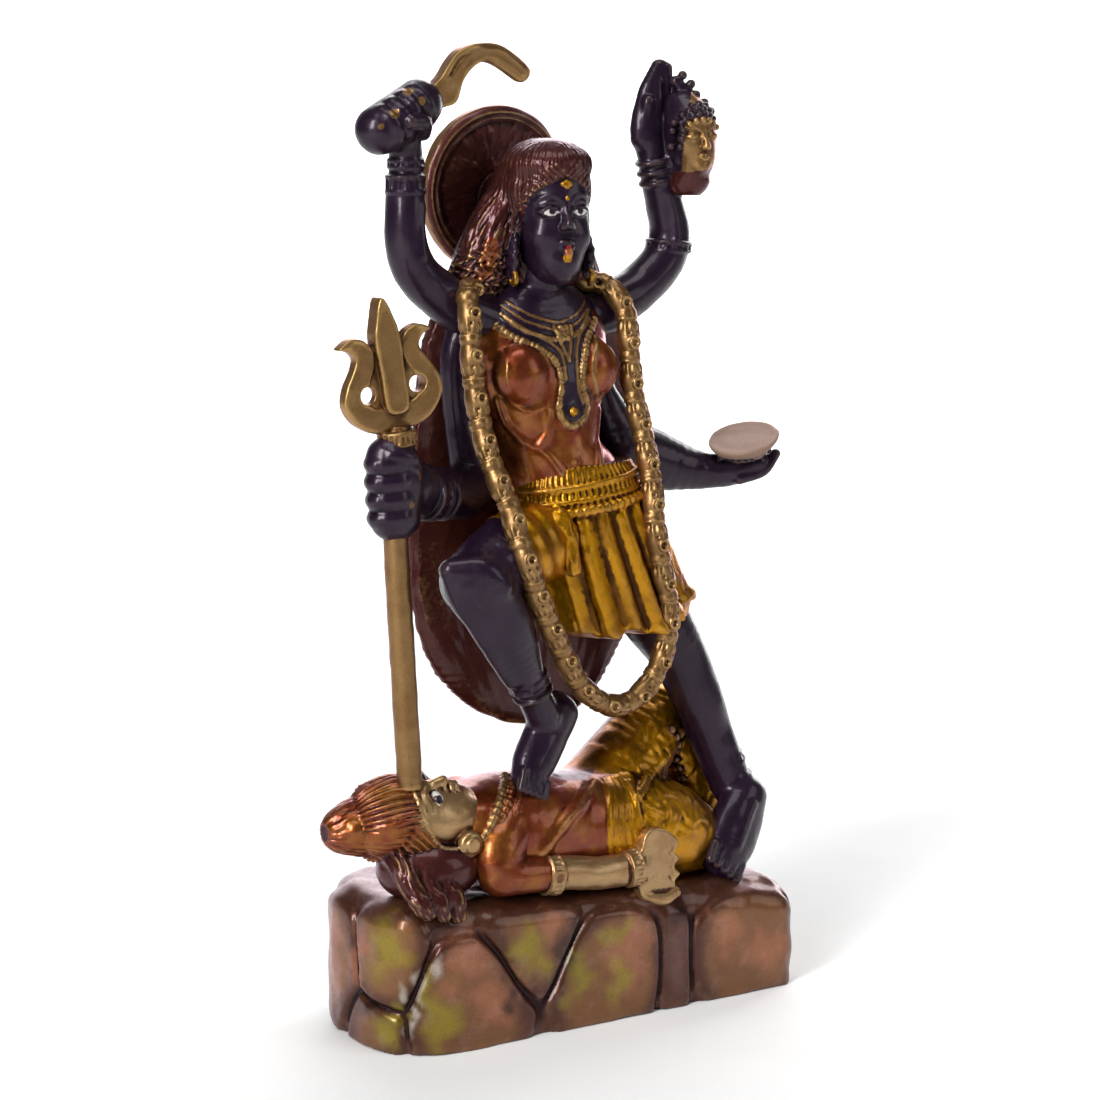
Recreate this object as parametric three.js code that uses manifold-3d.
// A brass figure of the goddess Kali striding over Shiva, who lies on a rock.
// Everything is one casting: rock, Shiva, Kali, her back hair, halo, garland and arms.
// Units are millimetres. +Z is up, the figure faces -Y, and the origin is the middle
// of the rock's flat underside.

import * as THREE from 'three';
import { LoftGeometry } from 'three/addons/geometries/LoftGeometry.js';
import { mergeVertices } from 'three/addons/utils/BufferGeometryUtils.js';
import Module from 'manifold-3d';

// Driving sizes of the rock
const ROCK_LENGTH = 125;
const ROCK_DEPTH = 55.4;
const ROCK_HEIGHT = 34;
const ROCK_SLOPE = 4.5;
const STONE_BULGE = 1.9;

// Driving sizes of the figure, measured up from the rock's top
const FIGURE_HEIGHT = 214.8;
const SHAFT_DIAMETER = 6.3;
const TRIDENT_THICKNESS = 4;
const TRIDENT_HOLE = 4.2;
const SWORD_THICKNESS = 4.4;
const HALO_RADIUS = 21.6;
const HALO_THICKNESS = 4.6;
const BOWL_RADIUS = 9.4;
const BOWL_HEIGHT = 4.6;
const GARLAND_DIAMETER = 5.4;

// The figure is drawn on a grid, so many parts high from the rock's top to the tip of the sword.
// Heights on the drawing are counted from the ground, under a rock that is so many parts high.
const DRAWING = { figure: 214.8, rock: 34 };
const PART = FIGURE_HEIGHT / DRAWING.figure;

const X = new THREE.Vector3(1, 0, 0);
const Y = new THREE.Vector3(0, 1, 0);
const Z = new THREE.Vector3(0, 0, 1);
const TURN = 2 * Math.PI;

const wasm = await Module();
wasm.setup();

// Turns a closed geometry into a solid, without the faces that a pole or a fan leaves flat
function solid(geometry) {
  const bare = new THREE.BufferGeometry();
  bare.setAttribute('position', geometry.attributes.position);
  bare.setIndex(geometry.index);
  const merged = mergeVertices(bare, 1e-4);
  const faces = [];
  for (let i = 0; i < merged.index.count; i += 3) {
    const [a, b, c] = [0, 1, 2].map((corner) => merged.index.getX(i + corner));
    if (a !== b && b !== c && c !== a) faces.push(a, b, c);
  }
  return new wasm.Manifold(new wasm.Mesh({
    numProp: 3,
    vertProperties: new Float32Array(merged.attributes.position.array),
    triVerts: new Uint32Array(faces),
  }));
}

// Skins a row of rings, and closes each end with a fan round the ring's middle
function skinned(sections) {
  const fan = (section) => {
    const middle = new THREE.Vector3();
    section.forEach((point) => middle.addScaledVector(point, 1 / section.length));
    return section.map(() => middle);
  };
  const closed = [fan(sections[0]), ...sections, fan(sections[sections.length - 1])];
  return solid(new LoftGeometry(closed, { closed: true }));
}

// Joins many solids into one
function joined(solids) {
  return solids.reduce((all, next) => all.add(next));
}

// Turns a solid back into a geometry with flat faces
function geometryOf(body) {
  const mesh = body.getMesh();
  const corners = new Float32Array(mesh.vertProperties);
  const geometry = new THREE.BufferGeometry();
  geometry.setAttribute('position', new THREE.BufferAttribute(corners, 3));
  geometry.setIndex(new THREE.BufferAttribute(new Uint32Array(mesh.triVerts), 1));
  geometry.computeVertexNormals();
  return geometry;
}

// A place on the drawing, in millimetres above the rock
function place(x, y, z) {
  return new THREE.Vector3(x * PART, y * PART, ROCK_HEIGHT + (z - DRAWING.rock) * PART);
}

// One ring of a limb: an ellipse, or a squarer oval where the power is over 2.
// Its corners stand out as far as its sides fall in, so that it fills the true oval.
function ring(centre, across, along, wide, deep, sides, power, relief, share) {
  const up = new THREE.Vector3().crossVectors(along, across).normalize();
  const fill = Math.sqrt((TURN / sides) / Math.sin(TURN / sides));
  const points = [];
  for (let i = 0; i < sides; i += 1) {
    const angle = (TURN * i) / sides;
    const cos = Math.cos(angle);
    const sin = Math.sin(angle);
    const swell = fill * (relief ? relief(angle, share) : 1);
    const cx = Math.sign(cos) * Math.abs(cos) ** (2 / power) * wide * swell;
    const cy = Math.sign(sin) * Math.abs(sin) ** (2 / power) * deep * swell;
    points.push(centre.clone().addScaledVector(across, cx).addScaledVector(up, cy));
  }
  return points;
}

// A form swept through stations [x, y, z, half width, half depth] of the drawing.
// The width lies towards the side vector, and each end is domed over by so many rings.
function limb(stations, {
  side = X, sides = 7, fine = 1, power = 2, domes = [1, 1], relief = null,
} = {}) {
  const centres = stations.map(([x, y, z]) => place(x, y, z));
  const halves = stations.map(
    ([, , , wide, deep = wide]) => new THREE.Vector3(wide * PART, deep * PART, 0),
  );
  const spine = new THREE.CatmullRomCurve3(centres, false, 'catmullrom', 0.5);
  const sizes = new THREE.CatmullRomCurve3(halves, false, 'catmullrom', 0.5);
  const steps = (stations.length - 1) * fine;
  const sections = [];
  const addRing = (share, reach, shrink) => {
    const along = spine.getTangent(share);
    const centre = spine.getPoint(share);
    const size = sizes.getPoint(share);
    const across = side.clone().addScaledVector(along, -side.dot(along)).normalize();
    centre.addScaledVector(along, reach * Math.min(size.x, size.y));
    const [wide, deep] = [size.x * shrink, size.y * shrink];
    sections.push(ring(centre, across, along, wide, deep, sides, power, relief, share));
  };
  for (let i = domes[0]; i > 0; i -= 1) {
    const lean = (Math.PI / 2) * (i / (domes[0] + 0.45));
    addRing(0, -Math.sin(lean), Math.cos(lean));
  }
  for (let i = 0; i <= steps; i += 1) {
    addRing(i / steps, 0, 1);
  }
  for (let i = 1; i <= domes[1]; i += 1) {
    const lean = (Math.PI / 2) * (i / (domes[1] + 0.45));
    addRing(1, Math.sin(lean), Math.cos(lean));
  }
  return skinned(sections);
}

// A squashed ball at a place on the drawing, turned about X, Y and Z in degrees
function ball(x, y, z, wide, deep, tall, { turn = [0, 0, 0], around = 10, rings = 6 } = {}) {
  const geometry = new THREE.SphereGeometry(1, around, rings);
  geometry.rotateX(Math.PI / 2);
  geometry.scale(wide * PART, deep * PART, tall * PART);
  const [ax, ay, az] = turn.map(THREE.MathUtils.degToRad);
  geometry.rotateX(ax).rotateY(ay).rotateZ(az);
  const spot = place(x, y, z);
  geometry.translate(spot.x, spot.y, spot.z);
  return solid(geometry);
}

// A flat plate with an outline in the X-Z plane, round a place on the drawing.
// The outline's points are in parts of the drawing, and lean turns it in its plane.
function plate(outline, [x, y, z], thickness, { lean = 0, yaw = 0, bevel = 0 } = {}) {
  const shape = new THREE.Shape(outline.map(([u, v]) => new THREE.Vector2(u * PART, v * PART)));
  const geometry = new THREE.ExtrudeGeometry(shape, {
    depth: thickness - 2 * bevel,
    bevelEnabled: bevel > 0,
    bevelThickness: bevel,
    bevelSize: bevel,
    bevelOffset: -bevel,
    bevelSegments: 1,
  });
  geometry.translate(0, 0, bevel - thickness / 2);
  geometry.rotateX(Math.PI / 2);
  geometry.rotateY(-THREE.MathUtils.degToRad(lean));
  geometry.rotateZ(THREE.MathUtils.degToRad(yaw));
  const spot = place(x, y, z);
  geometry.translate(spot.x, spot.y, spot.z);
  return solid(geometry);
}

// A smooth step from 0 to 1
function ease(from, to, value) {
  const share = Math.min(Math.max((value - from) / (to - from), 0), 1);
  return share * share * (3 - 2 * share);
}

// The rock's footprint is a rectangle with four round corners, front right first
const CORNERS = [7, 12, 27, 18];

// A point on the footprint and its outward direction, so far round from the middle of the front
function footprint(round) {
  const halfX = ROCK_LENGTH / 2;
  const halfY = ROCK_DEPTH / 2;
  const [frontRight, backRight, backLeft, frontLeft] = CORNERS;
  const runs = [
    ['line', 0, -halfY, halfX - frontRight, -halfY],
    ['arc', halfX - frontRight, -halfY + frontRight, frontRight, -90],
    ['line', halfX, -halfY + frontRight, halfX, halfY - backRight],
    ['arc', halfX - backRight, halfY - backRight, backRight, 0],
    ['line', halfX - backRight, halfY, -halfX + backLeft, halfY],
    ['arc', -halfX + backLeft, halfY - backLeft, backLeft, 90],
    ['line', -halfX, halfY - backLeft, -halfX, -halfY + frontLeft],
    ['arc', -halfX + frontLeft, -halfY + frontLeft, frontLeft, 180],
    ['line', -halfX + frontLeft, -halfY, 0, -halfY],
  ];
  const lengths = runs.map((run) => (run[0] === 'arc'
    ? (run[3] * Math.PI) / 2
    : Math.hypot(run[3] - run[1], run[4] - run[2])));
  const total = lengths.reduce((sum, length) => sum + length, 0);
  let left = (((round % total) + total) % total);
  for (let i = 0; i < runs.length; i += 1) {
    if (left <= lengths[i] || i === runs.length - 1) {
      const share = Math.min(left / lengths[i], 1);
      const [kind, a, b, c, d] = runs[i];
      if (kind === 'arc') {
        const angle = THREE.MathUtils.degToRad(d + 90 * share);
        const out = new THREE.Vector2(Math.cos(angle), Math.sin(angle));
        return { point: new THREE.Vector2(a + c * out.x, b + c * out.y), out, total };
      }
      const way = new THREE.Vector2(c - a, d - b).normalize();
      const out = new THREE.Vector2(way.y, -way.x);
      return { point: new THREE.Vector2(a + (c - a) * share, b + (d - b) * share), out, total };
    }
    left -= lengths[i];
  }
  return null;
}

// The stones that show round the rock: how far round the middle is, how high up it is
// as a share of the rock, half its length, half its height as a share, and its lean
const STONES = [
  [-93, 0.66, 11, 0.40, 0],
  [-72, 0.60, 9.5, 0.36, 0.1],
  [-84, 0.10, 17, 0.20, 0],
  [-45, 0.42, 17.5, 0.48, 0.1],
  [-21, 0.66, 11.5, 0.36, 0],
  [5, 0.38, 19, 0.50, -0.25],
  [43, 0.42, 14.5, 0.52, 0],
  [71, 0.45, 12, 0.48, 0],
  [97, 0.40, 13, 0.46, 0.1],
  [124, 0.48, 13, 0.5, -0.1],
  [151, 0.40, 13.5, 0.45, 0],
  [179, 0.46, 13.5, 0.5, 0.1],
  [207, 0.42, 13.5, 0.46, 0],
];

// How far the rock's side stands out at a place, from the stones round it
function stoneBulge(round, height, total) {
  let most = 0;
  STONES.forEach(([middle, level, halfLength, halfHeight, lean]) => {
    const level01 = (height - level) / halfHeight;
    let gap = round - middle - lean * level01 * halfLength;
    gap -= Math.round(gap / total) * total;
    const far = (Math.abs(gap / halfLength) ** 3 + Math.abs(level01) ** 3) ** (1 / 3);
    most = Math.max(most, 1 - ease(0.62, 1.06, far));
  });
  return most * STONE_BULGE;
}

// The rock: rings round the footprint, rolled in over the top
function rock() {
  const sides = 44;
  const { total } = footprint(0);
  const levels = [0, 0.2, 0.5, 0.8, 0.95, 1];
  const leastShoulder = 6;
  const endShoulder = 4;
  const sections = levels.map((level) => {
    const points = [];
    for (let i = 0; i < sides; i += 1) {
      const round = (total * i) / sides;
      const { point, out } = footprint(round);
      const end = (2 * point.x) / ROCK_LENGTH;
      const top = ROCK_HEIGHT - ROCK_SLOPE * end;
      const shoulder = leastShoulder + endShoulder * Math.max(end, 0) ** 2;
      const roll = Math.max(0, (level * top - (top - shoulder)) / shoulder);
      const inset = shoulder * (1 - Math.sqrt(Math.max(0, 1 - roll * roll))) + STONE_BULGE;
      const bulge = stoneBulge(round, level, total) * (1 - 0.6 * roll);
      const reach = bulge - inset;
      points.push(new THREE.Vector3(point.x + out.x * reach, point.y + out.y * reach, level * top));
    }
    return points;
  });
  return skinned(sections);
}

// Shiva lies on his back with his head at -X and his right arm along the front edge
function shivaBody() {
  return [
    limb([
      [-30, -8, 51.5, 14.5, 11.5], [-17, -7, 50, 17.5, 14], [-5, -7, 49, 16, 13.5],
      [9, -7, 47, 15.5, 13.5], [26, -7, 44, 16, 13.5], [40, -3, 39, 14, 9],
    ], { side: Y, sides: 10, power: 2.3, domes: [0, 1] }),
    limb([
      [9, -3, 50, 13, 11], [20, 0, 57, 13, 10.5], [30, 3, 64.5, 11.2, 9.8], [38, 6, 71.5, 7.4, 7.6],
    ], { side: Y, domes: [0, 1] }),
    limb([[39, 6, 72, 7, 7.5], [46, 6, 58, 7.5, 7.5], [52, 3, 38, 7, 7.5]], { side: Y }),
    limb([[20, 14, 42, 9, 8], [50, 15, 36, 6.5, 6]], { side: Y, domes: [0, 1] }),
    limb([[11, -18, 58, 7, 2.2], [6.5, -21.5, 50, 7, 2.8],
      [6, -22, 42, 7, 2.6]], { side: X, sides: 12, domes: [0, 0], relief: sashFolds }),
    limb([[-24, 8, 54, 7, 7], [-15, 17, 47, 6, 6], [0, 21, 41, 5.2, 5.2],
      [18, 20.4, 38, 5.2, 3.8]], { side: Y }),
  ];
}

// The sash across Shiva's waist is ribbed along its length
function sashFolds(angle) {
  return 1 + 0.12 * Math.cos(6 * angle);
}

// Shiva's right arm, with two bangles and a flat hand that stands on edge
function shivaArm() {
  const hand = [
    [-5, -8.5], [-4, 6.5], [1, 8.5], [6, 6], [7.6, 3.4], [6, 1.6], [7.8, -0.4], [6.2, -2.4],
    [7.9, -4.6], [6.3, -6.4],
    [5.5, -9],
  ];
  return [
    limb([[-24, -17, 53, 7.5, 7], [-29, -20, 48, 7, 7], [-30, -22.5, 42.5, 5.6, 5]]),
    limb([[-29, -22.5, 42, 5, 5.2], [-14, -23.5, 41, 4.4, 4.6], [0, -23.5, 38.8, 3.9, 4.3],
      [13, -23.5, 38.8, 3.2, 4.6]], { side: Y }),
    bangle([-15.4, -23.4, 40.7], [1, 0, -0.1], 5.3, 1.5),
    bangle([9.4, -23.6, 38.7], [1, 0, 0.05], 4.9, 1.5),
    plate(hand, [16, -24.2, 40], 3.4 * PART, { yaw: 4 }),
    limb([[13, -23.5, 31, 2.6, 1.8], [18, -25, 29.6, 2.8, 1.9],
      [22.4, -25, 30.6, 2, 1.6]], { side: Y, sides: 6 }),
  ];
}

// A ring worn on a limb: a short thick collar across the limb's direction
function bangle([x, y, z], direction, radius, half) {
  const way = new THREE.Vector3(...direction).normalize();
  const side = Math.abs(way.x) > 0.7 ? Y : X;
  const end = (reach) => [x + way.x * reach, y + way.y * reach, z + way.z * reach, radius];
  return limb([end(-half), end(half)], { side, domes: [0, 0] });
}

// Shiva's head looks up and a little to the front, with a topknot and long locks
function shivaHead() {
  const lock = (x, z) => limb([
    [x, -16, 48, 2.8, 3], [x + 1, -23, 41, 2.8, 3], [x + 3.4, -25.6, z, 2.1, 2.2],
  ], { sides: 5 });
  return [
    limb([
      [-63, -6.7, 55.8, 5, 5.2], [-59.6, -7.2, 56.2, 7.6, 7.6], [-57, -8, 57, 8.8, 8.4],
      [-53.5, -9, 57.6, 11, 10.4], [-48, -10, 57.6, 11.6, 10.6], [-42, -11, 56.8, 10.8, 8.8],
      [-36.5, -11.4, 56.4, 8.6, 7.6], [-32, -11, 54.6, 6.6, 6.8],
    ], { side: Y, sides: 10, domes: [1, 0] }),
    limb([[-45.5, -14.8, 66, 1.2, 1.2], [-41.5, -14.6, 65.6, 1.7, 1.7]], { side: Y, sides: 6 }),
    limb([[-39, -14, 63.4, 1.6, 1.6], [-38.6, -16.4, 62.7, 1.5, 1.4]], { side: Z, sides: 6 }),
    ball(-35.5, -13.5, 61.5, 2.6, 2.8, 2.4, { around: 7, rings: 4 }),
    ball(-38, -21, 52, 3.4, 2.4, 3.4, { around: 8, rings: 4 }),
    ball(-45, -13.5, 45, 14, 11.5, 9, { around: 9, rings: 5 }),
    lock(-55.6, 33.6),
    lock(-51, 34.6),
    lock(-46.6, 36),
  ];
}

// Kali's trunk, from the hips to the collar, with the breasts and the neck
function kaliTrunk() {
  return [
    limb([
      [4, -2, 134, 16, 12.4], [1.5, -1.6, 139.4, 13.6, 12], [-1.5, -1.4, 146, 12.8, 11.4],
      [-2.6, -0.8, 155, 15, 11.2],
      [-3, -0.2, 165, 17.8, 11], [-2.8, 1.4, 176, 18.8, 9.6], [-3, 1, 184.6, 10.5, 6.4],
    ], { sides: 10, power: 2.2, domes: [0, 1] }),
    ball(-13.4, -7.6, 166.6, 7.4, 5.2, 7.4, { around: 8 }),
    ball(7, -7.6, 167, 7.4, 5.2, 7.4, { around: 8 }),
    limb([[-4, 1, 184, 6.4, 6], [-3, -2.4, 196, 5.6, 5.8]], { domes: [0, 0] }),
  ];
}

// The necklaces: a broad collar and a long string that dips between the breasts
function kaliNecklaces() {
  return [
    limb([
      [-15, 1, 186, 2.4], [-12.6, -6.2, 182, 2.4], [-3.6, -10, 178.6, 2.6],
      [6.6, -6.2, 182.6, 2.4], [8.6, 1, 186.4, 2.4],
    ], { side: Z, sides: 5, domes: [0, 0] }),
    limb([
      [-17, -6.4, 178, 1.7], [-8.6, -11.2, 173, 1.7], [-5, -11.6, 158, 1.9], [-2.4, -12, 154.4, 2],
      [0.2, -11.6, 158, 1.9], [4, -11, 173, 1.7], [11.6, -6.4, 178.6, 1.7],
    ], { side: Z, sides: 5, domes: [0, 0] }),
  ];
}

// The head is turned a little to the viewer's left: an egg with nose, lips, chin and earrings
const FACE_TURN = -8;
const FACE_MIDDLE = [-2.6, -3.6];

// A place on the head, from its own left-right and front-back axes
function onHead(across, ahead, z, ...size) {
  const yaw = THREE.MathUtils.degToRad(FACE_TURN);
  const x = FACE_MIDDLE[0] + across * Math.cos(yaw) + ahead * Math.sin(yaw);
  const y = FACE_MIDDLE[1] + across * Math.sin(yaw) - ahead * Math.cos(yaw);
  return [x, y, z, ...size];
}

function kaliHead() {
  const yaw = THREE.MathUtils.degToRad(FACE_TURN);
  const across = new THREE.Vector3(Math.cos(yaw), Math.sin(yaw), 0);
  const skull = [
    onHead(0, 6, 192, 3.6, 3.4), onHead(0, 3.6, 195, 6.6, 6.4), onHead(0, 1.8, 199.6, 8.4, 8.6),
    onHead(0, 1, 205, 9.1, 9.4), onHead(0, 0.8, 211, 9.2, 9.8), onHead(0, 0.4, 216, 8.4, 9),
  ];
  const nose = [onHead(0, 9.8, 210, 1.2, 1.2), onHead(0, 11.4, 204.6, 1.9, 1.7)];
  const lips = [onHead(-2.2, 9.4, 199.8, 1.1, 1), onHead(2.2, 9.4, 199.8, 1.1, 1)];
  return [
    limb(skull, { side: across, sides: 10, power: 2.15, domes: [1, 0] }),
    limb(nose, { side: across, sides: 6 }),
    limb(lips, { side: Z, sides: 6, domes: [0, 0] }),
    ball(...onHead(0, 7.6, 194.6), 2.8, 2.4, 2.4, { around: 8, rings: 4 }),
    ball(...onHead(-9.8, 0, 196), 2.4, 2.4, 4.4, { around: 7, rings: 4 }),
    ball(...onHead(9.8, 0, 196), 2.4, 2.4, 4.4, { around: 7, rings: 4 }),
  ];
}

// Hair: a combed cap, a fall behind each shoulder and the broad tongue down her back
function kaliHair() {
  return [
    limb([
      [-1.8, 3.4, 190, 10.6, 8], [-1.6, 2.8, 201, 12.4, 10.2], [-1.6, 2.2, 209, 12.8, 11.6],
      [-2, 0.8, 215, 12.2, 12],
      [-2.4, -0.8, 219, 10.8, 11.4], [-2.6, -1, 222.4, 7.4, 8.2], [-2.6, -0.8, 224.2, 3.2, 3.8],
    ], { sides: 12, domes: [0, 0] }),
    limb([[-9, 3, 214, 4, 5], [-13, 3.6, 205, 6.4, 6.4], [-17, 4.6, 195, 7.8, 6.4],
      [-20, 8, 183, 8.4, 5.4]], { domes: [0, 0] }),
    limb([[6, 4, 208, 4, 6], [8.4, 5, 199, 4.8, 6.4], [11.4, 6, 190, 6.6, 6],
      [14, 9, 181, 8, 5]], { domes: [0, 0] }),
    limb([
      [0, 9, 190, 14, 5], [0, 10, 184, 25, 5], [0.6, 11.4, 174, 31.4, 4.6], [1.2, 13, 150, 34, 3.8],
      [2, 14, 122, 36.6, 3.4], [2, 14, 106, 35.2, 3.3], [2.4, 14, 94, 31, 3.3],
      [3, 14, 84, 24.4, 3.2], [3, 14, 77, 17.4, 3],
      [2.6, 14, 72.6, 9, 2.6],
    ], { sides: 10, power: 3, domes: [0, 0] }),
  ];
}

// The halo is a disc with a raised rim behind her head, held by a boss
function kaliHalo() {
  const half = HALO_THICKNESS / 2;
  const rim = HALO_RADIUS;
  const profile = [
    [0, -half + 1.2], [rim - 4.6, -half + 1.2], [rim - 4, -half], [rim, -half + 0.4],
    [rim, half - 0.6], [0, half],
  ].map(([radius, height]) => new THREE.Vector2(radius, height));
  const disc = new THREE.LatheGeometry(profile, 28);
  disc.rotateX(THREE.MathUtils.degToRad(4));
  const spot = place(-3.4, 21, 211.6);
  disc.translate(spot.x, spot.y, spot.z);
  return [solid(disc), limb([[-2.6, 8, 208, 7, 8], [-3.2, 21, 209, 6, 7]], { domes: [0, 0] })];
}

// A fist: a thick sleeve round what it grips, with the four fingers as rolls along it
function fist(from, to, wide, deep, side) {
  const rolls = 8;
  const stations = Array.from({ length: rolls + 1 }, (_, i) => {
    const share = i / rolls;
    const size = (i % 2 ? 1 : 0.84) * (1 - 0.3 * (share - 0.4) ** 2);
    const spot = from.map((value, axis) => value + (to[axis] - value) * share);
    return [...spot, wide * size, deep * size];
  });
  return limb(stations, { side, domes: [0, 0] });
}

// The raised right arm with bangles and the fist round the sword's grip
function swordArm() {
  return [
    limb([
      [-15, 3, 179, 6.8, 6.4], [-23, 3, 181.6, 6.6, 6.4], [-32, 2.4, 187, 6, 6],
      [-39, 1.6, 193, 5.8, 5.6],
      [-41.8, 1.4, 201, 5.4, 5.2], [-41.8, 1.4, 211, 5, 4.8], [-41.6, 1, 220, 4.1, 4.1],
      [-43, 0.4, 228, 5.6, 5],
    ], { side: Y }),
    bangle([-41.6, 1.2, 218.6], [0, 0, 1], 5.1, 1.6),
    bangle([-41.7, 1.4, 213.6], [0, 0, 1], 5.5, 1.2),
    fist([-51, -1.4, 226.4], [-38.4, -0.4, 233.8], 7.4, 8, Y),
    ball(-51.6, -2, 226.6, 3.8, 3.8, 3.8, { around: 8, rings: 5 }),
    limb([[-40, -0.6, 232.6, 2.6], [-35, 0, 234.6, 3]], { side: Y, sides: 6, domes: [0, 1] }),
  ];
}

// The sword is a short hooked blade
function sword() {
  const outline = [
    [-37.6, 230.8], [-32.4, 232.8], [-28.6, 234.4], [-26.4, 239.6], [-24, 242.4], [-21.2, 243.9],
    [-18, 243.6],
    [-14.2, 241.8], [-9.6, 239], [-7, 240.2], [-7.2, 243], [-13.2, 247.3], [-18.4, 248.8],
    [-24.5, 248.2], [-29, 246],
    [-33.2, 240.4], [-38, 236.8],
  ].map(([u, v]) => [u + 22, v - 240]);
  return [plate(outline, [-22, 0, 240], SWORD_THICKNESS, { bevel: 0.8 })];
}

// The raised left arm with its open hand and the severed head that hangs from it
function headArm() {
  return [
    limb([
      [11, 3, 179, 6.6, 6.4], [19, 3, 181, 6.6, 6.4], [29, 3, 185.6, 6, 6],
      [37, 3, 192.6, 5.8, 5.8], [39.2, 3, 200, 5.4, 5.4],
      [36.6, 3, 210, 4.8, 4.8], [34, 3, 219, 4.2, 4.2], [32.8, 3, 227, 5.6, 3.6],
      [34.2, 3, 237, 4.8, 2.8], [36, 3, 243.4, 2.4, 2.2],
    ]),
    bangle([34.6, 3, 216], [-0.2, 0, 1], 5.3, 1.6),
    bangle([38.6, 3, 195], [0.2, 0, 1], 6.6, 1.4),
    limb([
      [39.4, -3, 213, 4, 4], [41, -5, 218.6, 5.2, 5.6], [40.4, -4.6, 223.4, 6.5, 7],
      [39.8, -4, 228.4, 6.3, 6.8], [39, -2.4, 233.4, 4.6, 5],
    ], { domes: [0, 1] }),
    limb([[43.4, -10.4, 224.4, 1, 1], [44, -11.2, 221, 1.4, 1.3]], { sides: 6 }),
  ];
}

// The lower right arm comes down the side of the body and forward to the fist round the shaft
function tridentArm() {
  return [
    limb([
      [-23, 4, 180, 4, 4], [-26, 4, 170, 3.7, 3.9], [-24.8, 3.8, 153, 3.9, 4.1],
      [-22.6, 1.4, 140.6, 5.2, 6],
      [-28, -2.8, 136.4, 4.8, 5.6], [-38, -8, 137.4, 4.2, 4.8], [-48, -12.6, 140.6, 4.8, 5.8],
    ], { side: Y }),
    bangle([-42, -9.8, 138.2], [-0.88, -0.44, 0.15], 5.7, 1.8),
    fist([-55.4, -15, 132.6], [-56.4, -15, 151.4], 7, 5.4, X),
  ];
}

// The trident: a round shaft standing on Shiva's brow, a collar, and a flat pierced head
const TRIDENT_SEAT = [-54.2, -15, 156];
const TRIDENT_LEAN = 9.5;

// One drilled hole through the trident's head, so far to the side of its middle
function tridentHole(side) {
  const radius = TRIDENT_HOLE / 2;
  const drill = new THREE.CylinderGeometry(radius, radius, TRIDENT_THICKNESS * 3, 10);
  const tilt = THREE.MathUtils.degToRad(TRIDENT_LEAN);
  const up = 10;
  const [x, y, z] = TRIDENT_SEAT;
  const over = side * Math.cos(tilt) - up * Math.sin(tilt);
  const rise = side * Math.sin(tilt) + up * Math.cos(tilt);
  const spot = place(x + over, y, z + rise);
  drill.translate(spot.x, spot.y, spot.z);
  return solid(drill);
}

function trident() {
  const right = [
    [5.6, 0.2], [10, 2.4], [13, 5.8], [13.8, 9.4], [12.2, 13.4], [9.6, 17.4], [9, 19.6],
    [10.6, 21.6], [13, 22.6],
    [9.6, 24.4], [6.2, 23.6], [3.4, 21.4],
  ];
  const outline = [[0, 0], ...right, ...right.slice().reverse().map(([u, v]) => [-u, v])];
  const edge = [[2.8, 5], [3.3, 14], [3.5, 23], [2.2, 28.4], [0.7, 32.4]];
  const blade = [...edge, ...edge.slice().reverse().map(([u, v]) => [-u, v])];
  const girth = SHAFT_DIAMETER / 2 / PART;
  const [x, y, z] = TRIDENT_SEAT;
  return [
    plate(outline, TRIDENT_SEAT, TRIDENT_THICKNESS, { lean: TRIDENT_LEAN }),
    plate(blade, [x, y - 0.6, z], TRIDENT_THICKNESS + 1.2, { lean: TRIDENT_LEAN, bevel: 0.5 }),
    limb([[-50.8, -14.4, 66, girth], [-53, -14.8, 100, girth], [-54.8, -15, 132, girth],
      [x, y, z + 1, girth]], { domes: [0, 0] }),
    bangle([x, y, z - 2], [-0.1, 0, 1], 5, 1.8),
    bangle([x - 0.4, y, z - 5.2], [-0.1, 0, 1], 4.4, 1.4),
  ];
}

// The lower left arm reaches out to the side with a shallow bowl on its palm
function bowlArm() {
  const foot = BOWL_RADIUS * 0.62;
  const half = BOWL_HEIGHT / 2;
  const profile = [[0, -half], [foot, -half], [BOWL_RADIUS * 0.94, -half * 0.2],
    [BOWL_RADIUS, half], [0, half]]
    .map(([radius, height]) => new THREE.Vector2(radius, height));
  const bowl = new THREE.LatheGeometry(profile, 18);
  bowl.rotateX(THREE.MathUtils.degToRad(100));
  bowl.rotateY(THREE.MathUtils.degToRad(-8));
  const spot = place(58.6, -4.6, 142.6);
  bowl.translate(spot.x, spot.y, spot.z);
  return [
    limb([
      [15, 5, 168, 4, 4], [20, 5, 154, 4.6, 4.6], [26, 5, 143, 5.6, 5.6], [35, 4, 138.6, 5.4, 5.6],
      [48, 0.6, 137, 3.7, 4], [56, -2, 138.4, 5, 3.2], [62, -4, 140.4, 5.4, 2.8],
    ], { side: Y }),
    bangle([47, 1, 137.2], [0.95, -0.3, -0.05], 4.9, 1.6),
    solid(bowl),
  ];
}

// The skirt hangs in upright folds from a beaded belt, with a sash end in front
function kaliSkirt() {
  const folds = (angle, share) => 1 + (0.012 + 0.035 * share) * Math.cos(10 * angle);
  return [
    limb([
      [5, -5, 137, 16.6, 10], [7.4, -5.4, 125, 19.2, 12.4], [12.8, -5.6, 110, 20.8, 13.4],
      [18, -5.6, 98, 21.4, 13.8],
    ], { sides: 20, power: 2.1, domes: [0, 0], relief: folds }),
    limb([[4.8, -5, 138.6, 16.6, 10.6],
      [5.4, -5.3, 132.6, 18.8, 12.4]], { sides: 12, domes: [0, 0] }),
    limb([[-5, -16, 134, 2.4, 1.8], [-4.6, -18, 121, 1.8, 1.5]], { sides: 6 }),
  ];
}

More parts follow.
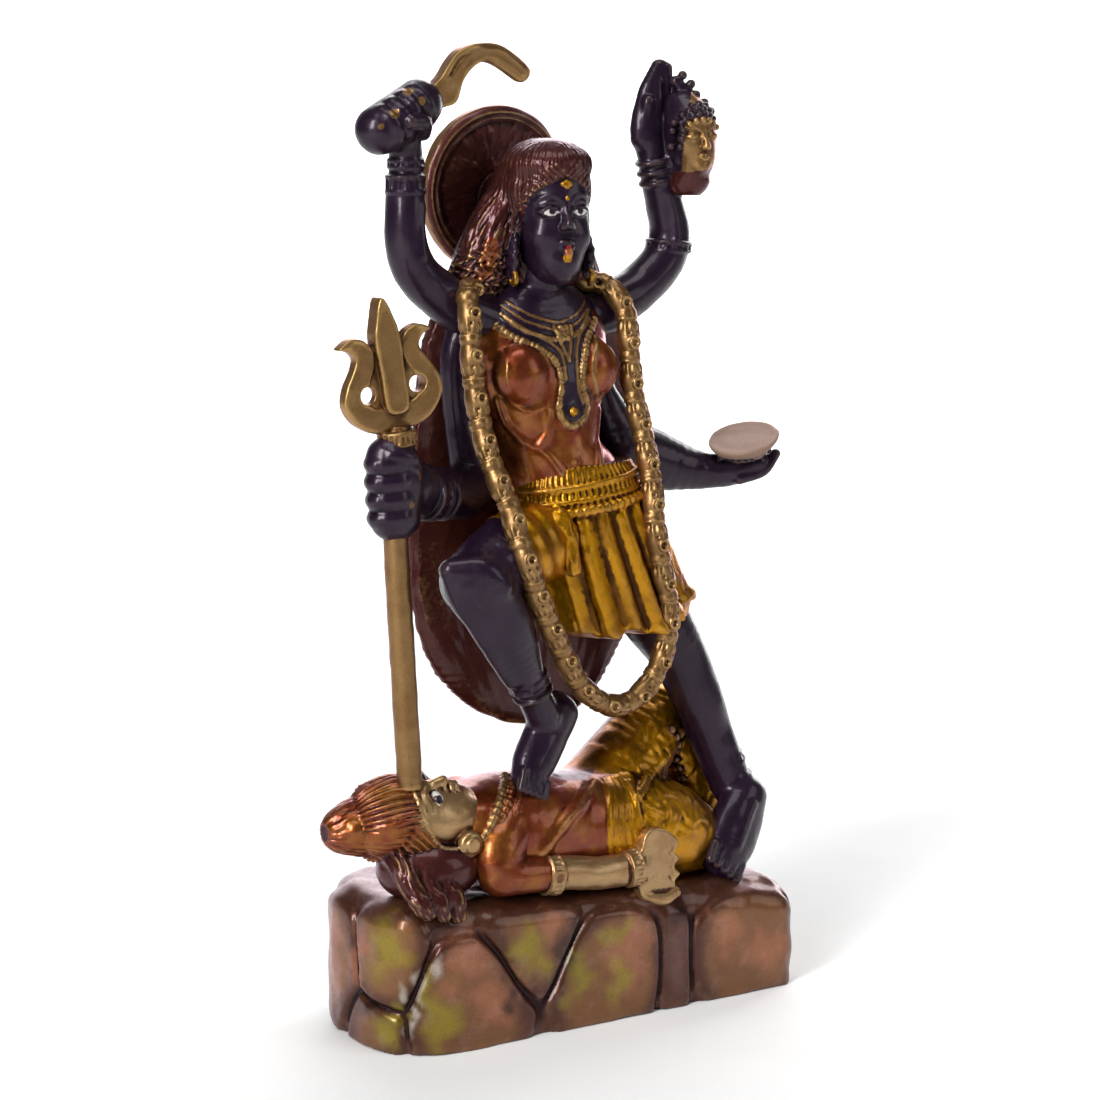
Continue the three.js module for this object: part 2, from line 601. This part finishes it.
// The right leg: thigh forward, shin with a sharp front, foot on Shiva's chest
function rightLeg() {
  return [
    limb([[-2, -4, 124, 11, 11], [-14, -10, 123, 11, 10.6], [-26, -15.6, 120, 10.2, 9.6],
      [-35, -19, 117, 8.6, 8.4]], { side: Z }),
    limb([
      [-33.6, -19.6, 117.6, 8, 8], [-30.2, -19, 112, 8.4, 8], [-25.4, -18.4, 104, 7.6, 7.4],
      [-20.6, -17.4, 95, 5.8, 5.6],
      [-17, -16.2, 88.6, 4.3, 4.4], [-11.6, -14.6, 80, 4.6, 4.4],
    ]),
    bangle([-17.2, -16.2, 89.6], [0.45, 0.15, -0.9], 5.7, 1.6),
    limb([
      [-5.4, -12.4, 80.4, 6.4, 4.6], [-8.2, -13.4, 74.6, 6.4, 4.8], [-11.6, -15, 68.4, 6.2, 5],
      [-14.4, -16.6, 64, 5, 4.4],
    ], { side: new THREE.Vector3(0.87, 0, -0.48) }),
  ];
}

// The left leg: nearly straight, out to the side, foot on the rock
function leftLeg() {
  return [
    limb([
      [13, -2, 124, 11, 10.6], [22, -2.8, 111, 10.2, 10], [30.4, -4, 99.4, 9, 8.8],
      [38, -5, 87.6, 7.4, 7.4],
      [43.4, -6, 75, 6.3, 6.3], [47, -6.6, 66, 5.4, 5.4], [52.6, -9, 52, 4.9, 4.9],
    ]),
    bangle([51, -8, 56.4], [0.35, -0.15, -0.9], 6.4, 1.8),
    limb([
      [54.6, -12.6, 50, 5.6, 4.6], [50.4, -14.4, 44.2, 7.2, 5.2], [45.8, -16.6, 38.4, 7.6, 5.4],
      [41.6, -18.6, 33.4, 6, 4.4],
    ], { side: new THREE.Vector3(0.78, 0, -0.62) }),
  ];
}

// The long garland: a string of small heads, seen as a beaded tube, open below the skirt
function garland() {
  const beads = 25;
  const girth = GARLAND_DIAMETER / 2 / PART;
  const swell = (angle, share) => 1 - 0.12 * Math.cos(TURN * beads * share);
  const route = [
    [-21, 4, 188.6], [-27.6, -4.5, 186.8], [-28.6, -7.5, 180.9], [-29, -9, 171], [-28.5, -10, 161.6],
    [-28, -12, 153.8], [-27.3, -15, 145.8], [-25.6, -18, 138.8], [-24.6, -20, 134.2],
    [-24.5, -22.6, 128.8], [-22.9, -25.2, 121.2], [-18.6, -24, 111.8], [-11.5, -21.8, 99.3],
    [-4.6, -20, 88.6], [1.6, -19, 83.3], [8, -18.3, 80.8], [15.3, -17.6, 82], [21.1, -17.4, 87.6],
    [24.4, -17.6, 96], [24.7, -18, 105.3], [22.4, -18.4, 114.8], [20.7, -17.6, 126.5],
    [21.5, -14.6, 137.8], [21.1, -11, 149.6], [19.8, -8.6, 160.9], [18.9, -8, 172],
    [18.6, -6.6, 180.9], [15.4, -2, 187.6], [9, 5, 188.4],
  ].map(([x, y, z]) => [x, y, z, girth]);
  return [limb(route, { side: Y, sides: 5, fine: 2, relief: swell })];
}

// Joins the whole casting, and drills the two holes through the trident
function casting() {
  const holeApart = 7;
  return joined([
    rock(), ...shivaBody(), ...shivaArm(), ...shivaHead(), ...kaliTrunk(), ...kaliNecklaces(),
    ...kaliHead(), ...kaliHair(), ...kaliHalo(), ...swordArm(), ...sword(), ...headArm(),
    ...tridentArm(), ...trident(), ...bowlArm(), ...kaliSkirt(), ...rightLeg(), ...leftLeg(),
    ...garland(),
  ]).subtract(tridentHole(-holeApart)).subtract(tridentHole(holeApart));
}

const brass = new THREE.MeshStandardMaterial({ color: 0x9a7b45, roughness: 0.42, metalness: 1 });
brass.name = 'brass';
const figure = new THREE.Mesh(geometryOf(casting()), brass);
figure.name = 'kali_figure';

const group = new THREE.Group();
group.name = 'kali_on_shiva';
group.add(figure);

export default group;
